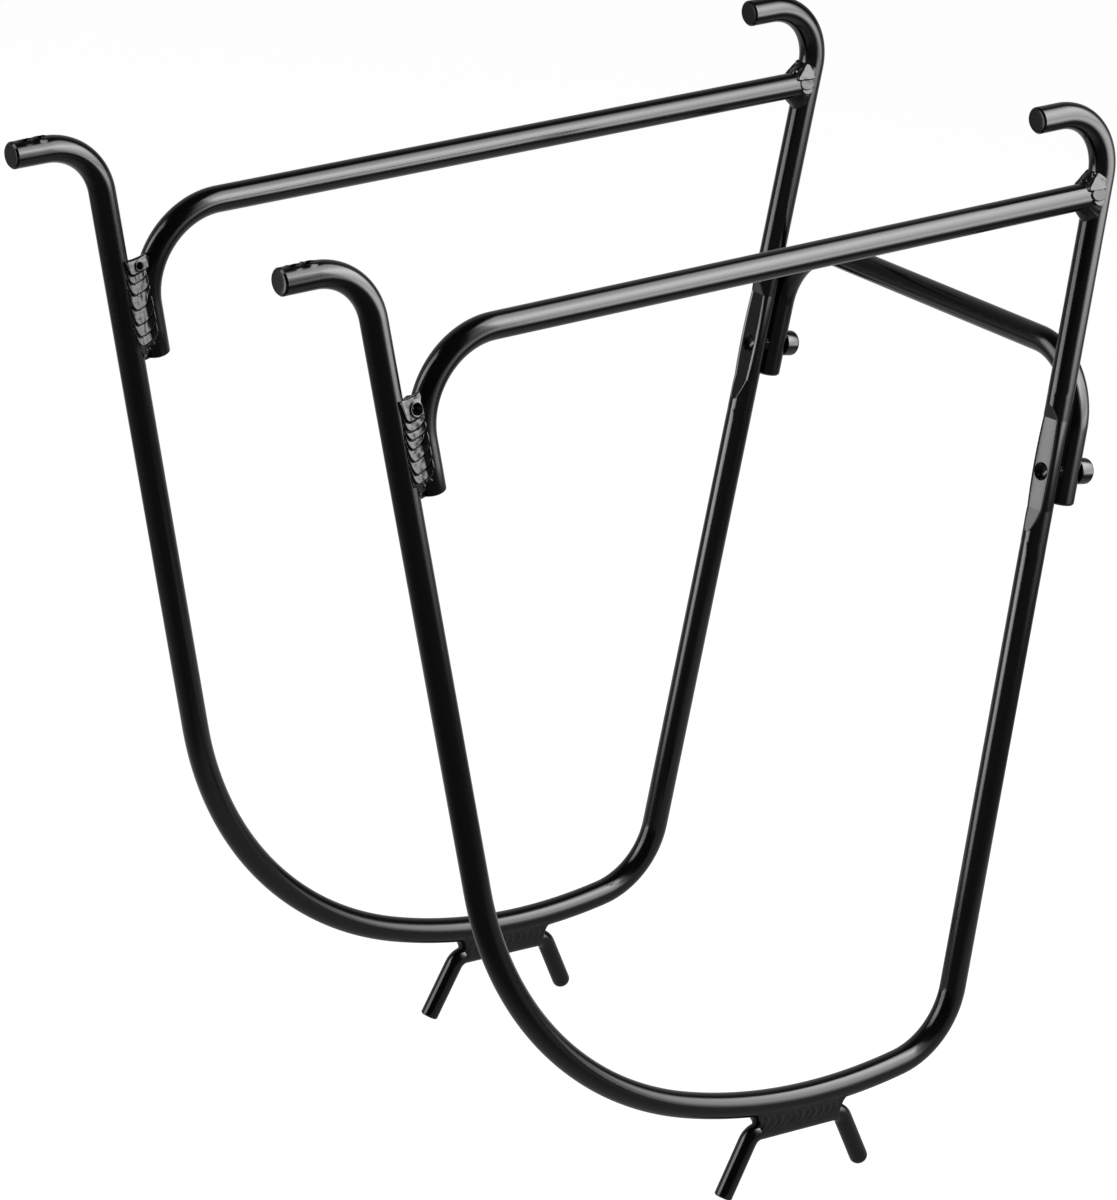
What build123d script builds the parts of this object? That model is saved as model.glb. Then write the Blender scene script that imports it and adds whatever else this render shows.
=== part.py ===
from build123d import *
import os
from math import asin, atan2, cos, degrees, radians, sin, sqrt

# A pair of bent-rod side frames joined by one bolted crossbar. All sizes in millimetres.
# X runs from the front pegs to the rear hooks, Y to the right, Z up.
# Every side frame is drawn flat in its own plane (x rearward from the peg tip, z up from
# the peg axis), then leaned outwards and moved to the right; the left one is its mirror.

# Rod stock
ROD_R = 5.0
BRACKET_ROD_R = 3.5
ROD_END_CHAMFER = 0.7
BRACKET_END_CHAMFER = 0.5

# Stance of the two frames
FRAME_SPACING = 170.0
FRAME_LEAN = 1.5

# Hoop rod: peg, front leg, wide bottom bow, rear leg, hook
PEG_STRAIGHT = 14.0
PEG_BEND_R = 25.0
LEG_ANGLE = 79.0
FRONT_LEG = 225.5
BOW_FRONT_R = 145.0
BOW_FRONT_TURN = 60.0
BOW_BASE_R = 225.0
BOW_BASE_TURN = 26.5
BOW_REAR_R = 31.0
REAR_LEG = 317.5
HOOK_BEND_R = 22.0
HOOK_STRAIGHT = 11.0
PEG_HOLE_R = 1.75
PEG_HOLE_STATIONS = (6.0, 12.0)

# Top rail: its front end turns down beside the front leg, its rear end meets the rear leg
RAIL_LEG_OFFSET = 11.0
RAIL_TAIL_TOP = 50.0
RAIL_TAIL = 19.5
RAIL_BEND_R = 30.0

# Foot bracket under the bow
BRACKET_X = 229.5
BRACKET_DROP = 10.0
BRACKET_TILT = 3.0
BRACKET_SPAN = 42.8
BRACKET_LEG = 26.7
BRACKET_SPLAY = 27.0
BRACKET_BEND_R = 6.0

# Crossbar and its two screws, placed by distance down the rear leg from the hook bend
CROSSBAR_STATION = 69.5
CROSSBAR_BEND_R = 28.0
BOLT_STATION = 113.5
CROSSBAR_END_STATION = 126.0
CROSSBAR_HOLE_R = 3.2
SPOTFACE_R = 5.6
SPOTFACE_DEPTH = 0.8
TAPPED_HOLE_R = 3.0
SCREW_R = 2.95
SCREW_LENGTH = 15.0
SCREW_END_CHAMFER = 0.6
HEAD_R = 5.0
HEAD_HEIGHT = 6.0
HEAD_FILLET = 1.0
SOCKET_ACROSS_FLATS = 5.0
SOCKET_DEPTH = 3.0

# Pressed flat on the front of each rear leg
FLAT_TOP_STATION = 93.0
FLAT_BOTTOM_STATION = 128.0
FLAT_DEPTH = 2.2
FLAT_TOP_RAMP = 5.5
FLAT_BOTTOM_RAMP = 8.8
SWELL_R = 5.6
SWELL_HALF_LENGTH = 30.0
HOLE_CHAMFER = 0.5

# Front weld: one rippled bead on each side of the groove between leg and rail end
BEAD_R = 19.1
BEAD_SINK = 13.5
BEAD_WIDTH = 10.6
BEAD_ROOT = 0.6
BEAD_RIPPLES = 8
BEAD_RIPPLE_PITCH = 4.8
BEAD_GROOVE_DEPTH = 0.4
BEAD_GROOVE_WIDTH = 0.7
BEAD_END_CHAMFER = 1.4
BEAD_START = 30.5

# Rear weld: a collar round the rail where it meets the rear leg
COLLAR_REACH = 4.2
COLLAR_R = 8.6
COLLAR_LIP = 0.3
COLLAR_BEVEL = 1.4
COLLAR_WRAP = 2.0
COLLAR_WIDTH = 12.4

# Foot weld: one broad bead on each side of the bracket
FOOT_WELD_TOP_LENGTH = 51.0
FOOT_WELD_BOTTOM_LENGTH = 41.0
FOOT_WELD_ROOT = 0.6
FOOT_WELD_TOP = 4.9
FOOT_WELD_BOTTOM = 3.7
FOOT_WELD_HOOP_TOE = 1.2
FOOT_WELD_BRACKET_TOE = 1.2


def bent_path(start, heading, moves):
    """Wire of straights (length,) and tangent bends (radius, turn) drawn in the XY plane."""
    here = Vector(*start)
    tangent = Vector(cos(radians(heading)), sin(radians(heading)))
    edges = []
    for move in moves:
        if len(move) == 1:
            edge = Line(here, here + tangent * move[0])
        else:
            edge = JernArc(here, tangent, move[0], move[1])
        edges.append(edge)
        here = edge @ 1
        tangent = edge % 1
    return Wire([edge.edge() for edge in edges])


def bent_rod(path, radius, end_chamfer):
    """Round rod along a path, with both cut ends lightly chamfered."""
    section = Plane(origin=path @ 0, z_dir=path % 0) * Circle(radius)
    rod = sweep(section, path=path)
    ends = rod.faces().filter_by(GeomType.PLANE)
    return chamfer([edge for face in ends for edge in face.edges()], end_chamfer)


def upright(shape):
    """Turn a shape drawn in the XY plane into the XZ plane of a side frame."""
    return Plane.XZ.location * shape


def set_right(shape):
    """Lean a side-frame shape outwards and move it to the right-hand side."""
    return Location((0, FRAME_SPACING / 2, 0)) * (Rotation(FRAME_LEAN, 0, 0) * shape)


def hoop_path():
    """Centreline of the hoop rod, from the peg tip to the hook tip."""
    rear_turn = 2 * LEG_ANGLE - BOW_FRONT_TURN - BOW_BASE_TURN
    moves = [
        (PEG_STRAIGHT,),
        (PEG_BEND_R, -LEG_ANGLE),
        (FRONT_LEG,),
        (BOW_FRONT_R, BOW_FRONT_TURN),
        (BOW_BASE_R, BOW_BASE_TURN),
        (BOW_REAR_R, rear_turn),
        (REAR_LEG,),
        (HOOK_BEND_R, 180 - LEG_ANGLE),
        (HOOK_STRAIGHT,),
    ]
    return bent_path((0, 0), 0, moves)


def front_leg_point(station, offset):
    """Point beside the front leg: station down from the peg bend, offset rearward."""
    top = Vector(
        PEG_STRAIGHT + PEG_BEND_R * sin(radians(LEG_ANGLE)),
        -PEG_BEND_R * (1 - cos(radians(LEG_ANGLE))),
    )
    down = Vector(cos(radians(LEG_ANGLE)), -sin(radians(LEG_ANGLE)))
    rearward = Vector(sin(radians(LEG_ANGLE)), cos(radians(LEG_ANGLE)))
    return top + down * station + rearward * offset


def rear_leg_top():
    """Upper end of the straight rear leg, where the hook bend starts."""
    leg = hoop_path().edges().sort_by(Edge.length)[-1]
    return max((leg @ 0, leg @ 1), key=lambda point: point.Y)


def rear_leg_point(station):
    """Point on the rear leg's centreline, a distance down from the hook bend."""
    down = Vector(-cos(radians(LEG_ANGLE)), -sin(radians(LEG_ANGLE)))
    return rear_leg_top() + down * station


def rail_level():
    """Height of the straight top rail's centreline."""
    tail_top = front_leg_point(RAIL_TAIL_TOP, RAIL_LEG_OFFSET)
    return tail_top.Y + RAIL_BEND_R * (1 - cos(radians(180 - LEG_ANGLE)))


def rail_junction():
    """Point where the rail's centreline meets the rear leg's centreline."""
    station = (rear_leg_top().Y - rail_level()) / sin(radians(LEG_ANGLE))
    return rear_leg_point(station)


def bolt_plane():
    """Right-hand bolt: origin on the leg's centreline, z rearward, y up the leg."""
    axis_point = rear_leg_point(BOLT_STATION)
    lean = radians(FRAME_LEAN)
    origin = Vector(
        axis_point.X,
        FRAME_SPACING / 2 - axis_point.Y * sin(lean),
        axis_point.Y * cos(lean),
    )
    rearward = Vector(sin(crossbar_slope()), 0, -cos(crossbar_slope()))
    leg = Vector(
        cos(radians(LEG_ANGLE)),
        -sin(radians(LEG_ANGLE)) * sin(lean),
        sin(radians(LEG_ANGLE)) * cos(lean),
    )
    return Plane(origin=origin, x_dir=leg.cross(rearward), z_dir=rearward)


def crossbar_slope():
    """Angle of the crossbar's plane above the horizontal, in radians."""
    leg_angle = radians(LEG_ANGLE)
    return atan2(sin(leg_angle) * cos(radians(FRAME_LEAN)), cos(leg_angle))


def flat_cutter():
    """Material pressed off the front of the rear leg: a long flat with a ramp at each end."""
    top = BOLT_STATION - FLAT_TOP_STATION
    bottom = BOLT_STATION - FLAT_BOTTOM_STATION
    floor = FLAT_DEPTH - ROD_R
    profile = Polyline(
        (bottom, floor),
        (top, floor),
        (top + FLAT_TOP_RAMP * 2, floor - FLAT_DEPTH * 2),
        (bottom - FLAT_BOTTOM_RAMP * 2, floor - FLAT_DEPTH * 2),
        close=True,
    )
    side_view = Plane(bolt_plane().origin, x_dir=bolt_plane().y_dir, z_dir=bolt_plane().x_dir)
    return extrude(side_view * make_face(profile), amount=2 * ROD_R, both=True)


def leg_swell():
    """Metal squeezed out sideways by the flat: a slice of a long slim spindle."""
    half = Line((-SWELL_HALF_LENGTH, 0), (SWELL_HALF_LENGTH, 0))
    bow = ThreePointArc((-SWELL_HALF_LENGTH, 0), (0, SWELL_R), (SWELL_HALF_LENGTH, 0))
    spindle = revolve(make_face([half, bow]), Axis.X)
    slab = Box(2 * SWELL_HALF_LENGTH, 4 * SWELL_R, 2 * (ROD_R - FLAT_DEPTH))
    station = (FLAT_TOP_STATION + FLAT_BOTTOM_STATION) / 2
    along = Rotation(0, 0, 90) * (spindle & slab)
    return bolt_plane().location * (Location((0, BOLT_STATION - station, 0)) * along)


def hoop_rod():
    """Right hoop rod with its drilled peg, pressed flat and tapped hole."""
    rod = bent_rod(hoop_path(), ROD_R, ROD_END_CHAMFER)
    for station in PEG_HOLE_STATIONS:
        rod -= Location((station, 0, 0)) * Rotation(90, 0, 0) * Cylinder(PEG_HOLE_R, 4 * ROD_R)
    rod = set_right(upright(rod)) + leg_swell()
    rod -= flat_cutter()
    rod -= bolt_plane().location * Cylinder(TAPPED_HOLE_R, 4 * ROD_R)
    mouth = Cone(
        TAPPED_HOLE_R + HOLE_CHAMFER,
        TAPPED_HOLE_R,
        HOLE_CHAMFER,
        align=(Align.CENTER, Align.CENTER, Align.MIN),
    )
    return rod - bolt_plane().location * (Location((0, 0, FLAT_DEPTH - ROD_R)) * mouth)


def plain_hoop():
    """Undrilled hoop rod in its own plane, used to shape the pieces welded to it."""
    path = hoop_path()
    section = Plane(origin=path @ 0, z_dir=path % 0) * Circle(ROD_R)
    return upright(sweep(section, path=path))


def rail_path():
    """Centreline of the top rail, from its lower front end to the rear leg."""
    start = front_leg_point(RAIL_TAIL_TOP + RAIL_TAIL, RAIL_LEG_OFFSET)
    turn = 180 - LEG_ANGLE
    bend_end_x = front_leg_point(RAIL_TAIL_TOP, RAIL_LEG_OFFSET).X + RAIL_BEND_R * sin(radians(turn))
    straight = rail_junction().X - bend_end_x
    return bent_path(start, turn, [(RAIL_TAIL,), (RAIL_BEND_R, -turn), (straight,)])


def plain_rail():
    """Rail rod in its own plane, running right into the rear leg."""
    path = rail_path()
    section = Plane(origin=path @ 0, z_dir=path % 0) * Circle(ROD_R)
    rod = sweep(section, path=path)
    front_end = rod.faces().filter_by(GeomType.PLANE).sort_by(Axis.X)[0]
    return upright(chamfer(front_end.edges(), ROD_END_CHAMFER))


def top_rail():
    """Right top rail, its rear end coped to sit against the round rear leg."""
    return set_right((plain_rail() - plain_hoop()).solids().sort_by(SortBy.VOLUME)[-1])


def bracket_centre():
    """Middle of the foot bracket's straight run."""
    base_centre_x = bow_base_centre().X
    rise = sqrt(BOW_BASE_R**2 - (BRACKET_X - base_centre_x) ** 2)
    return Vector(BRACKET_X, bow_base_centre().Y - rise - BRACKET_DROP)


def bow_base_centre():
    """Centre of the wide arc at the bottom of the hoop."""
    bow = hoop_path().edges().filter_by(lambda edge: edge.geom_type == GeomType.CIRCLE)
    return bow.sort_by(lambda edge: edge.radius)[-1].arc_center


def plain_bracket():
    """Foot bracket rod in the frame's plane: a level run with two splayed legs."""
    turn = 90 - BRACKET_SPLAY
    tangent_length = BRACKET_BEND_R * sin(radians(turn)) / (1 + cos(radians(turn)))
    half_run = BRACKET_SPAN / 2
    leg = Vector(-sin(radians(BRACKET_SPLAY)), -cos(radians(BRACKET_SPLAY))) * BRACKET_LEG
    start = Vector(-half_run, 0) + leg
    moves = [
        (BRACKET_LEG - tangent_length,),
        (BRACKET_BEND_R, -turn),
        (BRACKET_SPAN - 2 * tangent_length,),
        (BRACKET_BEND_R, -turn),
        (BRACKET_LEG - tangent_length,),
    ]
    rod = bent_rod(bent_path(start, turn, moves), BRACKET_ROD_R, BRACKET_END_CHAMFER)
    centre = bracket_centre()
    return upright(Location((centre.X, centre.Y, 0)) * (Rotation(0, 0, -BRACKET_TILT) * rod))


def foot_bracket():
    """Right foot bracket."""
    return set_right(plain_bracket())


def front_weld(outward):
    """One bead of the front weld; outward is +1 for the outer face, -1 for the inner."""
    length = BEAD_RIPPLES * BEAD_RIPPLE_PITCH
    start = front_leg_point(BEAD_START, RAIL_LEG_OFFSET / 2)
    place = Location((start.X, 0, start.Y)) * Rotation(0, LEG_ANGLE + 90, 0)
    place *= Location((0, -outward * BEAD_SINK, 0))
    bead = Cylinder(BEAD_R, length, align=(Align.CENTER, Align.CENTER, Align.MIN))
    ends = bead.edges().filter_by(GeomType.CIRCLE)
    bead = chamfer(ends, BEAD_END_CHAMFER)
    above_root = Location((0, outward * (BEAD_SINK + BEAD_ROOT + BEAD_R), 0))
    bead = place * (bead & above_root * Box(BEAD_WIDTH, 2 * BEAD_R, 2 * length))
    bead -= plain_hoop()
    bead -= plain_rail()
    groove = Cylinder(2 * BEAD_R, BEAD_GROOVE_WIDTH)
    groove -= Cylinder(BEAD_R - BEAD_GROOVE_DEPTH, BEAD_GROOVE_WIDTH)
    for ripple in range(1, BEAD_RIPPLES):
        bead -= place * (Location((0, 0, ripple * BEAD_RIPPLE_PITCH)) * groove)
    return set_right(bead.solids().sort_by(SortBy.VOLUME)[-1])


def rear_weld():
    """Right collar of weld where the rail's rear end meets the rear leg."""
    junction = rail_junction()
    leg_front = -ROD_R / sin(radians(LEG_ANGLE))
    profile = Polyline(
        (leg_front - COLLAR_REACH, 0),
        (leg_front - COLLAR_REACH, ROD_R + COLLAR_LIP),
        (leg_front - COLLAR_BEVEL, COLLAR_R - COLLAR_BEVEL),
        (leg_front, COLLAR_R),
        (COLLAR_WRAP, COLLAR_R),
        (COLLAR_WRAP, 0),
        close=True,
    )
    collar = revolve(make_face(profile), Axis.X)
    collar &= Box(8 * COLLAR_R, 4 * COLLAR_R, COLLAR_WIDTH)
    collar = upright(Location((junction.X, junction.Y, 0)) * collar)
    collar -= plain_hoop()
    collar -= plain_rail()
    return set_right(collar.solids().sort_by(SortBy.VOLUME)[-1])


def foot_weld(outward):
    """One broad bead of the foot weld, filling from the bow down over the bracket."""
    centre = bracket_centre()
    base = bow_base_centre()
    toe_r = BOW_BASE_R + FOOT_WELD_HOOP_TOE
    block_height = 2 * BRACKET_DROP
    flare = (FOOT_WELD_TOP_LENGTH - FOOT_WELD_BOTTOM_LENGTH) / 2
    block = Polyline(
        (-FOOT_WELD_BOTTOM_LENGTH / 2, -FOOT_WELD_BRACKET_TOE),
        (FOOT_WELD_BOTTOM_LENGTH / 2, -FOOT_WELD_BRACKET_TOE),
        (FOOT_WELD_TOP_LENGTH / 2 + flare, block_height),
        (-FOOT_WELD_TOP_LENGTH / 2 - flare, block_height),
        close=True,
    )
    block = extrude(make_face(block), amount=2 * ROD_R, both=True)
    block = Location((centre.X, centre.Y, 0)) * (Rotation(0, 0, -BRACKET_TILT) * block)
    block -= Location((base.X, base.Y, 0)) * Cylinder(toe_r, 8 * ROD_R)
    section = Polyline(
        (FOOT_WELD_ROOT, -FOOT_WELD_BRACKET_TOE * 2),
        (FOOT_WELD_BOTTOM, -FOOT_WELD_BRACKET_TOE * 2),
        (FOOT_WELD_BOTTOM, 0),
        (FOOT_WELD_TOP, BRACKET_DROP),
        (FOOT_WELD_TOP, block_height),
        (FOOT_WELD_ROOT, block_height),
        close=True,
    )
    slab = extrude(Plane.YZ * make_face(section), amount=FOOT_WELD_TOP_LENGTH, both=True)
    slab = Location((centre.X, 0, centre.Y)) * (Rotation(0, BRACKET_TILT, 0) * slab)
    bead = upright(block) & slab
    if outward < 0:
        bead = mirror(bead, about=Plane.XZ)
    bead -= plain_hoop()
    bead -= plain_bracket()
    return set_right(bead.solids().sort_by(SortBy.VOLUME)[-1])


def crossbar():
    """Crossbar: an upside-down U behind the rear legs, drilled and spot-faced for the screws."""
    bolt = bolt_plane()
    side_lean = degrees(asin(sin(radians(LEG_ANGLE)) * sin(radians(FRAME_LEAN))))
    half_width = bolt.origin.Y
    below_bolt = CROSSBAR_END_STATION - BOLT_STATION
    above_bolt = (BOLT_STATION - CROSSBAR_STATION) * cos(radians(side_lean))
    turn = 90 - side_lean
    tangent_length = CROSSBAR_BEND_R * sin(radians(turn)) / (1 + cos(radians(turn)))
    corner_x = half_width - above_bolt * sin(radians(side_lean)) / cos(radians(side_lean))
    upright_length = above_bolt / cos(radians(side_lean)) + below_bolt - tangent_length
    start = (
        -half_width - below_bolt * sin(radians(side_lean)),
        -below_bolt * cos(radians(side_lean)),
    )
    moves = [
        (upright_length,),
        (CROSSBAR_BEND_R, -turn),
        (2 * (corner_x - tangent_length),),
        (CROSSBAR_BEND_R, -turn),
        (upright_length,),
    ]
    rod = bent_rod(bent_path(start, turn, moves), ROD_R, ROD_END_CHAMFER)
    slope = crossbar_slope()
    rearward = Vector(sin(slope), 0, -cos(slope))
    origin = Vector(bolt.origin.X, 0, bolt.origin.Z) + rearward * 2 * ROD_R
    rod = Plane(origin=origin, x_dir=(0, 1, 0), z_dir=rearward).location * rod
    drill = Cylinder(CROSSBAR_HOLE_R, 4 * ROD_R)
    spotface = Cylinder(
        SPOTFACE_R, ROD_R, align=(Align.CENTER, Align.CENTER, Align.MIN)
    )
    tool = Location((0, 0, 2 * ROD_R)) * drill
    tool += Location((0, 0, 3 * ROD_R - SPOTFACE_DEPTH)) * spotface
    tool = bolt.location * tool
    return rod - tool - mirror(tool, about=Plane.XZ)


def crossbar_screw():
    """Right socket-head screw, put in from the rear through crossbar and leg."""
    shank = Cylinder(SCREW_R, SCREW_LENGTH, align=(Align.CENTER, Align.CENTER, Align.MAX))
    tip = shank.faces().sort_by(Axis.Z)[0]
    shank = chamfer(tip.edges(), SCREW_END_CHAMFER)
    head = Cylinder(HEAD_R, HEAD_HEIGHT, align=(Align.CENTER, Align.CENTER, Align.MIN))
    rim = head.faces().sort_by(Axis.Z)[-1]
    head = fillet(rim.edges(), HEAD_FILLET)
    socket = RegularPolygon(SOCKET_ACROSS_FLATS / 2, 6, major_radius=False)
    socket = extrude(socket, amount=SOCKET_DEPTH)
    head -= Location((0, 0, HEAD_HEIGHT - SOCKET_DEPTH)) * socket
    seat = 3 * ROD_R - SPOTFACE_DEPTH
    return bolt_plane().location * (Location((0, 0, seat)) * (shank + head))


def side_pieces():
    """Every right-hand piece by name, before the left-hand mirror images are made."""
    return {
        "hoop_rod": hoop_rod(),
        "top_rail": top_rail(),
        "foot_bracket": foot_bracket(),
        "front_weld_outer": front_weld(1),
        "front_weld_inner": front_weld(-1),
        "rear_weld": rear_weld(),
        "foot_weld_outer": foot_weld(1),
        "foot_weld_inner": foot_weld(-1),
        "crossbar_screw": crossbar_screw(),
    }


def assembly():
    """All pieces, moved so the origin is the bottom centre of the whole object."""
    pieces = {"crossbar": crossbar()}
    for name, piece in side_pieces().items():
        pieces["right_" + name] = piece
        pieces["left_" + name] = mirror(piece, about=Plane.XZ)
    box = Compound(children=[piece.solid() for piece in pieces.values()]).bounding_box()
    to_origin = Location((-(box.min.X + box.max.X) / 2, 0, -box.min.Z))
    return {name: to_origin * piece for name, piece in pieces.items()}


os.makedirs("parts", exist_ok=True)
for node, piece in assembly().items():
    export_step(piece, "parts/" + node + ".step")
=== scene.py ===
from math import acos, atan2, cos, degrees, pi, radians, sin, sqrt

import bmesh
import bpy
import numpy as np
from mathutils import Matrix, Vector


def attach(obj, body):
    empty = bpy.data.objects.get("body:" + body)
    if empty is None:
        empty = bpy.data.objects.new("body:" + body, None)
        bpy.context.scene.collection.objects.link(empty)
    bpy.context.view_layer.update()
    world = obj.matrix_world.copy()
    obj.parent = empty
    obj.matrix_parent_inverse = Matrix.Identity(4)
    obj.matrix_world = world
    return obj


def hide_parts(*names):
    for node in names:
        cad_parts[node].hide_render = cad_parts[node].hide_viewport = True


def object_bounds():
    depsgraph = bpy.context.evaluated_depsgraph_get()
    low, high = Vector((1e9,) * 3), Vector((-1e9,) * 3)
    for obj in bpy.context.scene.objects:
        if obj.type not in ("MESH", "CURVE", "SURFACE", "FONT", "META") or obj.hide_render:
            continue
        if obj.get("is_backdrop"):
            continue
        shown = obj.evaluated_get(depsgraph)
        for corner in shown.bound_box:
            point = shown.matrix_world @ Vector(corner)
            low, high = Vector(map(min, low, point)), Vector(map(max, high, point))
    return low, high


# Bag support frame pair: glossy black bent rods with coarse welds, in a white studio.
# Shapes are drawn in millimetres. A side frame is flat in its own plane: x rearward from the
# peg tip, z up from the peg axis, and "out" square to the plane, away from the other frame.

# Placing of the two side frames in the model's own frame
SHIFT_X = -185.84404
SHIFT_Z = 398.94433
FRAME_SPACING = 170.0
FRAME_LEAN = radians(1.5)

# Rods. A move is a straight (length,) or a bend (radius, degrees to the left)
ROD_R = 5.0
BRACKET_R = 3.5
LEG_ANGLE = radians(79.0)
PEG_LENGTH, PEG_BEND_R = 14.0, 25.0
HOOP_MOVES = [
    (PEG_LENGTH,), (PEG_BEND_R, -79.0), (225.5,), (145.0, 60.0), (225.0, 26.5),
    (31.0, 71.5), (317.5,), (22.0, 101.0), (11.0,),
]
RAIL_OFFSET = 11.0
RAIL_TAIL_TOP = 50.0
RAIL_TAIL = 19.5
RAIL_BEND_R = 30.0
PEG_HOLES = (6.0, 12.0)
PEG_HOLE_R, COUNTERSINK_R = 1.75, 2.75
BURR_LIFT, BURR_R, BURR_WIDTH = (0.13, 0.26), 2.5, 0.42

# Pressed flat on the rear leg, by distance down from the hook bend
FLAT_TOP, FLAT_BOTTOM = 93.0, 128.0
FLAT_FLOOR = 2.8
FLAT_SLOPE_TOP, FLAT_SLOPE_BOTTOM = 2.2 / 5.5, 2.2 / 8.8
FLAT_SWELL = 0.17
FLAT_TWIST = radians(5.0)

# Crossbar and screws
CROSSBAR_TOP = 69.5
CROSSBAR_BEND_R = 28.0
BOLT_STATION = 113.5
CROSSBAR_END = 126.0
CROSSBAR_HOLE_R = 3.2
SPOTFACE_R = 5.6
SPOTFACE_DEPTH = 0.8
SEAT = 3 * ROD_R - SPOTFACE_DEPTH
SCREW_MAJOR, SCREW_MINOR, SCREW_PITCH = 2.93, 2.45, 1.0
HOLE_MAJOR, HOLE_MINOR = 3.0, 2.55
SCREW_LENGTH, SHANK_R = 15.0, 2.85
HEAD_R, HEAD_HEIGHT, HEAD_ROUND = 5.0, 6.0, 1.3
SOCKET_FLATS, SOCKET_DEPTH = 5.0, 3.0
SOCKET_RIM_R, SOCKET_MOUTH_R = 3.15, 2.92

# Foot bracket
BRACKET_X, BRACKET_DROP, BRACKET_TILT = 229.5, 10.0, radians(3.0)
BRACKET_SPAN, BRACKET_LEG = 42.8, 26.7
BRACKET_SPLAY, BRACKET_BEND_R = radians(27.0), 6.0
BOW_CENTRE = np.array([249.95, -138.3])
BOW_R = 225.0

# Camera: eye and axes in the model's frame, focal length in pixels of a 1200-pixel-high view
EYE = (-1.227466, -1.627602, 1.018147)
CAMERA_RIGHT = (0.80321261, -0.59537637, 0.01940329)
CAMERA_DOWN = (-0.20360972, -0.30500599, -0.93033028)
FOCAL = 5864.434
CENTRE_OFFSET = (1.098, 1.792)
VIEW_HEIGHT = 1200.0

# Floor, in metres; its brightness to the camera, and how much of a real shadow it takes
FLOOR_R, FLOOR_SIDES, FLOOR_DROP = 9.0, 96, 0.0002
FLOOR_BRIGHTNESS, SHADOW_SHARE = 1.09, 0.12
# Where the pale wall is that only reflections show
WALL_DIRECTION = (0.30, 0.95, -0.05)

# Meshes: points round a rod, steps along it, the thread's step, the smallest gap between rings,
# and the angles from which an edge is sharp
SEGMENTS = 64
STRAIGHT_STEP, BEND_STEP = 9.0, 1.3
THREAD_STEP = 0.125
CLOSEST_RINGS = 0.04
SHARP, WELD_SHARP = radians(32.0), radians(60.0)


def rotate(points, angle):
    """Turn 2-D points by an angle in radians."""
    points = np.asarray(points, float)
    c, s = cos(angle), sin(angle)
    return np.stack([points[..., 0] * c - points[..., 1] * s,
                     points[..., 0] * s + points[..., 1] * c], -1)


def to_row(points, side):
    """Points (x, out, z) of a side frame in mm, as metres in the model's frame."""
    points = np.asarray(points, float)
    x, out, z = points[..., 0], points[..., 1], points[..., 2]
    y = FRAME_SPACING / 2 + out * cos(FRAME_LEAN) - z * sin(FRAME_LEAN)
    up = out * sin(FRAME_LEAN) + z * cos(FRAME_LEAN)
    return np.stack([x + SHIFT_X, side * y, up + SHIFT_Z], -1) / 1000


class Route:
    """Centreline of straights and tangent bends in a plane, read by distance along it."""

    def __init__(self, start, heading, moves):
        self.parts = []
        here, angle, done = np.array(start, float), radians(heading), 0.0
        for move in moves:
            turn = radians(move[1]) if len(move) == 2 else 0.0
            length = abs(move[0] * turn) if turn else move[0]
            curve = turn / length
            self.parts.append((done, length, here, angle, curve))
            here = self._point(here, angle, curve, length)
            angle += turn
            done += length
        self.length = done

    @staticmethod
    def _point(here, angle, curve, run):
        if abs(curve) < 1e-9:
            return here + run * np.array([cos(angle), sin(angle)])
        end = angle + curve * run
        return here + np.array([sin(end) - sin(angle), cos(angle) - cos(end)]) / curve

    def at(self, run):
        """Point and heading at a distance along the route, which may run past its ends."""
        part = self.parts[0]
        for candidate in self.parts:
            if run >= candidate[0]:
                part = candidate
        begin, _, here, angle, curve = part
        step = run - begin
        return self._point(here, angle, curve, step), angle + curve * step

    def stations(self, straight_step, bend_step):
        """Distances at which a rod along this route gets a ring of vertices."""
        runs = []
        for begin, length, _, _, curve in self.parts:
            step = bend_step if curve else straight_step
            count = max(2, int(round(length / step)) + 1)
            runs += list(np.linspace(begin, begin + length, count))
        return sorted(set(round(run, 5) for run in runs))


def front_leg_point(station, offset):
    """Point beside the front leg: station down from the peg bend, offset rearward."""
    top = np.array([PEG_LENGTH + PEG_BEND_R * sin(LEG_ANGLE),
                    -PEG_BEND_R * (1 - cos(LEG_ANGLE))])
    down = np.array([cos(LEG_ANGLE), -sin(LEG_ANGLE)])
    rearward = np.array([sin(LEG_ANGLE), cos(LEG_ANGLE)])
    return top + np.multiply.outer(station, down) + np.multiply.outer(offset, rearward)


HOOP = Route((0, 0), 0, HOOP_MOVES)
HOOK_BEND = HOOP.parts[7][0]
LEG_TOP = HOOP.parts[7][2]


def rear_leg_point(station):
    """Point on the rear leg's centreline, a distance down from the hook bend."""
    return LEG_TOP - station * np.array([cos(LEG_ANGLE), sin(LEG_ANGLE)])


RAIL_LEVEL = front_leg_point(RAIL_TAIL_TOP, RAIL_OFFSET)[1] + RAIL_BEND_R * (1 + cos(LEG_ANGLE))
JUNCTION = rear_leg_point((LEG_TOP[1] - RAIL_LEVEL) / sin(LEG_ANGLE))

# Angle of the crossbar's plane above the horizontal, and the direction square to it
CROSSBAR_SLOPE = atan2(sin(LEG_ANGLE) * cos(FRAME_LEAN), cos(LEG_ANGLE))
REARWARD = np.array([sin(CROSSBAR_SLOPE), 0.0, -cos(CROSSBAR_SLOPE)])


# ---- mesh helpers

def in_scene(name, data):
    """New object in the scene for a mesh, light or camera."""
    item = bpy.data.objects.new(name, data)
    bpy.context.scene.collection.objects.link(item)
    return item


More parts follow.
